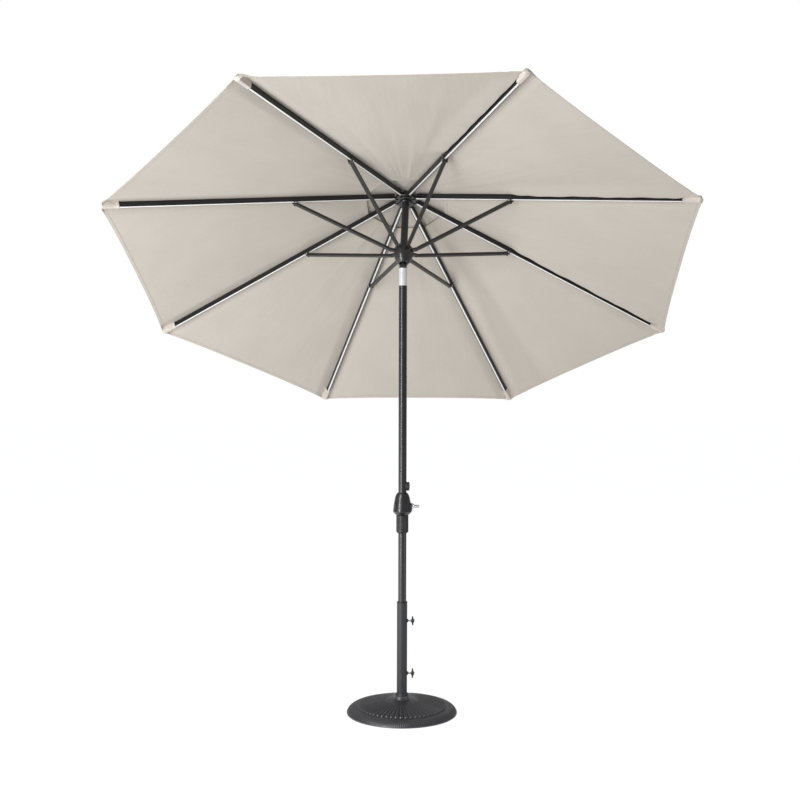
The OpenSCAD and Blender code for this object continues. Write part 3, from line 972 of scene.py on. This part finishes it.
def chamfered(half, low, high, corner):
    """A rectangle's outline with its corners cut, for prism."""
    flat = half - corner
    upper = [(half, high - corner), (flat, high), (-flat, high), (-half, high - corner)]
    lower = [(-half, low + corner), (-flat, low), (flat, low), (half, low + corner)]
    return upper + lower


def make_light_strip(i):
    """A thin black channel with a domed frosted cover, under the rib."""
    low, high = LIGHT_Z
    channel_low = high - 1.6 * MM
    tray = [(-6, 0), (6, 0), (6, -2.2), (5.2, -2.2)]
    tray += [(5.2, -1.2), (-5.2, -1.2), (-5.2, -2.2), (-6, -2.2)]
    tray = [(y * MM, high + z * MM) for y, z in tray]
    # the strip starts just outside the hub's flange
    start = 12 * MM
    channel = prism(f"light_channel_{i}", tray, start, LIGHT_X[1], rib_frame(i), LOOKS["rib_black"])
    half, rise = 4.1 * MM, 0.9 * MM
    dome = [(half, channel_low), (half, low + rise)]
    for a in np.linspace(0.2, math.pi - 0.2, 9):
        dome.append((half * math.cos(a), low + rise * (1 - math.sin(a))))
    dome += [(-half, low + rise), (-half, channel_low)]
    ends = (start + 1 * MM, LIGHT_X[1] - 1 * MM)
    cover = prism(f"light_cover_{i}", dome, *ends, rib_frame(i), LOOKS["led_white"])
    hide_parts(f"led_{i}")
    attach(channel, f"rib_{i}")
    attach(cover, f"rib_{i}")


def lathe(profile, count):
    """Points and faces of a closed turned solid; profile is (radius, height) from axis to axis."""
    ring = unit_circle(count)
    inner = profile[1:-1]
    points = [(0, 0, profile[0][1])]
    for r, z in inner:
        points += [(r * x, r * y, z) for x, y in ring]
    points.append((0, 0, profile[-1][1]))
    faces = [(0, 1 + (c + 1) % count, 1 + c) for c in range(count)]
    faces += grid_faces(len(inner), count, 1, closed=True)
    last = 1 + (len(inner) - 1) * count
    faces += [(last + c, last + (c + 1) % count, len(points) - 1) for c in range(count)]
    return np.array(points, float), faces


def turned_pieces(name, profile, places, mat, count=32):
    """Copies of one turned solid at several places, as one piece."""
    points, faces = [], []
    for place in places:
        p, f = lathe(profile, count)
        start = sum(len(x) for x in points)
        points.append(moved(p, place))
        faces += [tuple(start + k for k in face) for face in f]
    return new_object(name, np.concatenate(points), faces, mat)


def make_rib_heel(i):
    """The moulded end plug that fills the rib's section out to the hub."""
    low, high, half = RIB_TUBE[:, 2].min(), RIB_TUBE[:, 2].max(), RIB_TUBE[:, 1].max()
    section = chamfered(half, low, high, 1 * MM)
    heel = prism(f"rib_heel_{i}", section, 12 * MM, 23 * MM, rib_frame(i), LOOKS["rib_black"])
    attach(heel, f"rib_{i}")


def make_rivets(i):
    """Two domed rivet heads at rib i's strut bracket."""
    pivot = rib_frame(i).inverted() @ Vector(JOINTS[f"strut_{i}_swing"]["pos_m"])
    lever = RIB[:, 1].max()
    dome = [(0, 0), (4.6, 0), (4.6, 0.5), (4.2, 1.2), (3.2, 1.9), (1.7, 2.3), (0, 2.4)]
    dome = [(r * MM, z * MM) for r, z in dome]
    places = []
    for side in (-1, 1):
        at = Matrix.Translation((pivot.x, side * (lever - 0.3 * MM), pivot.z))
        places.append(rib_frame(i) @ at @ Matrix.Rotation(-side * math.pi / 2, 4, "X"))
    rivets = turned_pieces(f"bracket_rivets_{i}", dome, places, LOOKS["steel"], 24)
    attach(rivets, f"rib_{i}")


def make_strut_socket(i):
    """The moulded end that fills the strut out to the runner's arm."""
    pivot = Vector(JOINTS[f"strut_{i}_swing"]["pos_m"])
    points = node_points(f"strut_{i}")
    away = np.linalg.norm(points - np.array(pivot), axis=1)
    tip = Vector(points[away > away.max() - 3 * MM].mean(0))
    out = (tip - pivot).normalized()
    side = rib_frame(i).to_3x3() @ Vector((0, 1, 0))
    place = Matrix.Translation(pivot) @ Matrix((out, side, out.cross(side))).transposed().to_4x4()
    half, deep = 7.7 * MM, 6.2 * MM
    section = chamfered(half, -deep, deep, 1.2 * MM)
    end = away.max() - 12.8 * MM
    start = end - 23.2 * MM
    socket = prism(f"strut_socket_{i}", section, start, end, place, LOOKS["strut_paint"])
    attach(socket, f"strut_{i}")


for number in RIBS:
    make_light_strip(number)
    make_rib_heel(number)
    make_rivets(number)
    make_strut_socket(number)

# ---------------------------------------------------------------- base


def make_base():
    """The cast base: a domed disc with a raised sunburst, a plain ring and a fluted rim."""
    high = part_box("base_casting")[1]
    rim = high.x
    petals, flutes, steps = 56, 168, 1008
    turn = np.arange(steps) * 2 * math.pi / steps
    petal_end = rim - 48 * MM
    boss_r, socket_r = 36 * MM, 24.1 * MM
    petal_x = (turn * petals / (2 * math.pi)) % 1 - 0.5
    end = petal_end - 5 * MM * (2 * petal_x) ** 2
    groove_share = np.exp(-((0.5 - np.abs(petal_x)) / 0.17) ** 2)

    # radii and heights in mm of the sunburst's crest line, and of the plain ring and rim
    dome_r, dome_z = [0.0, 36, 40, 60, 80, 206], [62.0, 62, 61, 58.2, 54.5, 34]
    plate_r = [0.0, 196, 212, 222, 230, 237, 243, 248, 252, 254]
    plate_z = [30.0, 30, 28.4, 27.6, 26.6, 24.2, 20, 14.5, 8.5, 4]

    def top(r):
        """Height of the casting's top at radius r for every step round."""
        mm = r / MM
        crown = np.interp(mm, dome_r, dome_z)
        plain = np.interp(mm, plate_r, plate_z)
        swell = smooth(mm, 74, 92)
        depth = swell * (2.0 + 3.4 * (mm - 80) / 126)
        arch = 0.9 * swell * (mm / 206) * (1 - (2 * petal_x) ** 2)
        petal = crown - depth * groove_share + arch
        on_petal = smooth(end / MM - mm, 0.0, 4.0)
        height = plain + (np.maximum(petal, plain) - plain) * on_petal
        fluted = smooth(mm, 235, 239) * (1 - smooth(mm, 252.5, 253.8))
        height = height - 1.6 * fluted * (0.5 + 0.5 * np.cos(turn * flutes))
        return height * MM

    radii = [40, 48, 58, 68, 76, 82, 88, 95, 103, 112, 122, 132, 142, 152, 162, 171, 179, 186]
    radii += [190, 193, 195, 197, 199, 200.5, 202, 203.5, 205, 206.5, 208, 211, 215, 220, 223]
    radii += [226, 230, 234, 237, 240, 243, 246, 249, 251.5, 253]
    boss = [(socket_r, 15 * MM), (socket_r, high.z), (33 * MM, high.z), (34.8 * MM, high.z - 1 * MM)]
    boss += [(boss_r, high.z - 3.4 * MM), (boss_r, high.z - 10 * MM), (37 * MM, high.z - 13.4 * MM)]
    ring = unit_circle(steps)

    def circle(r, z):
        return np.column_stack([ring * r, np.broadcast_to(z, steps)])

    rows = [circle(r, z) for r, z in boss]
    rows += [circle(r * MM, top(r * MM)) for r in radii]
    foot = rim - 18 * MM
    under = [(rim, 4 * MM), (rim, 0), (foot, 0), (foot, 3 * MM), (rim - 32 * MM, 13 * MM)]
    under += [(petal_end, 20 * MM), (80 * MM, 43 * MM), (40 * MM, 48 * MM), (38 * MM, 0)]
    rows += [circle(r, z) for r, z in under]
    points = np.concatenate(rows)
    count = len(rows)
    faces = grid_faces(count, steps, closed=True)
    first, last = len(points), len(points) + 1
    points = np.concatenate([points, [(0, 0, 15 * MM), (0, 0, 0)]])
    for c in range(steps):
        d = (c + 1) % steps
        faces.append((first, d, c))
        faces.append(((count - 1) * steps + c, (count - 1) * steps + d, last))
    webs = 8
    for k in range(webs):
        a = 2 * math.pi * k / webs
        out = np.array([math.cos(a), math.sin(a), 0])
        across = np.array([-math.sin(a), math.cos(a), 0]) * 3.6 * MM
        shape = [(37, 0.2), (rim / MM - 17, 0.2), (rim / MM - 17, 4), (205, 22), (80, 45), (37, 50)]
        start = len(points)
        for s in (-1, 1):
            face = [out * r * MM + s * across + (0, 0, z * MM) for r, z in shape]
            points = np.concatenate([points, face])
        n = len(shape)
        faces.append(tuple(start + j for j in range(n)))
        faces.append(tuple(start + n + j for j in range(n))[::-1])
        for j in range(n):
            e = (j + 1) % n
            faces.append((start + j, start + n + j, start + n + e, start + e))
    base = new_object("base_disc", points, faces, LOOKS["cast_black"], sharp=32)
    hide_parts("base_casting")
    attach(base, "base")


make_base()

# ---------------------------------------------------------------- small fittings


def make_label_sleeve():
    """A blank pale sleeve round the top of the pole, below the tilt joint."""
    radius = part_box("tilt_fork")[1].x
    start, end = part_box("upper_pole")[1].z + 0.6 * MM, JOINT_Z - 9 * MM
    wall = 0.5 * MM
    inner, outer = radius + 0.05 * MM, radius + wall
    rows = [(inner, start), (outer, start + 0.3 * MM), (outer + 0.1 * MM, start + 1.5 * MM)]
    rows += [(outer, z) for z in np.linspace(start + 3 * MM, end - 3 * MM, 6)]
    rows += [(outer + 0.1 * MM, end - 1.5 * MM), (outer, end - 0.3 * MM), (inner, end)]
    points, faces = turned_ring(rows, 64)
    look = Look("label_sleeve", (203, 204, 206), 0.3)
    look.tint(look.ranged(look.noise(40, 3), 0.4, 0.7, 0, 0.4), (182, 183, 186))
    look.bump(look.noise(160, 2), 0.08 * MM)
    look.coat(0.5, 0.1)
    sleeve = new_object("blank_label_sleeve", points, faces, look.mat)
    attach(sleeve, "pole")


def make_screw_centres():
    """Steel heads in the middle of the two thumbscrew knobs."""
    head = [(0, 0), (5.2, 0), (5.2, 0.7), (4.7, 1.3), (3.4, 1.9), (1.8, 2.2), (0, 2.3)]
    head = [(r * MM, z * MM) for r, z in head]
    for word in ("upper", "lower"):
        low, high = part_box(f"knob_{word}")
        centre = (low + high) / 2
        place = Matrix.Translation((high.x - 0.2 * MM, centre.y, centre.z))
        place = place @ Matrix.Rotation(math.pi / 2, 4, "Y")
        piece = turned_pieces(f"screw_head_{word}", head, [place], LOOKS["steel"])
        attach(piece, f"thumbscrew_{word}")


def make_crank_bell():
    """The bright escutcheon where the crank's shaft leaves the housing."""
    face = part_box("crank_housing_right")[1].x
    low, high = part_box("crank_shaft")
    height = (low.z + high.z) / 2
    hole = (high.z - low.z) / 2 + 0.3 * MM
    outline = [(hole, -1), (14 * MM, -1), (14 * MM, 0.8), (12.6 * MM, 3), (10 * MM, 5.5)]
    outline += [(hole + 1.2 * MM, 7), (hole, 7)]
    points, faces = turned_ring([(r, x * MM) for r, x in outline], 48)
    place = Matrix.Translation((face, 0, height)) @ Matrix.Rotation(math.pi / 2, 4, "Y")
    bell = new_object("crank_bell", moved(points, place), faces, LOOKS["chrome"])
    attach(bell, "crank")


make_label_sleeve()
make_screw_centres()
make_crank_bell()
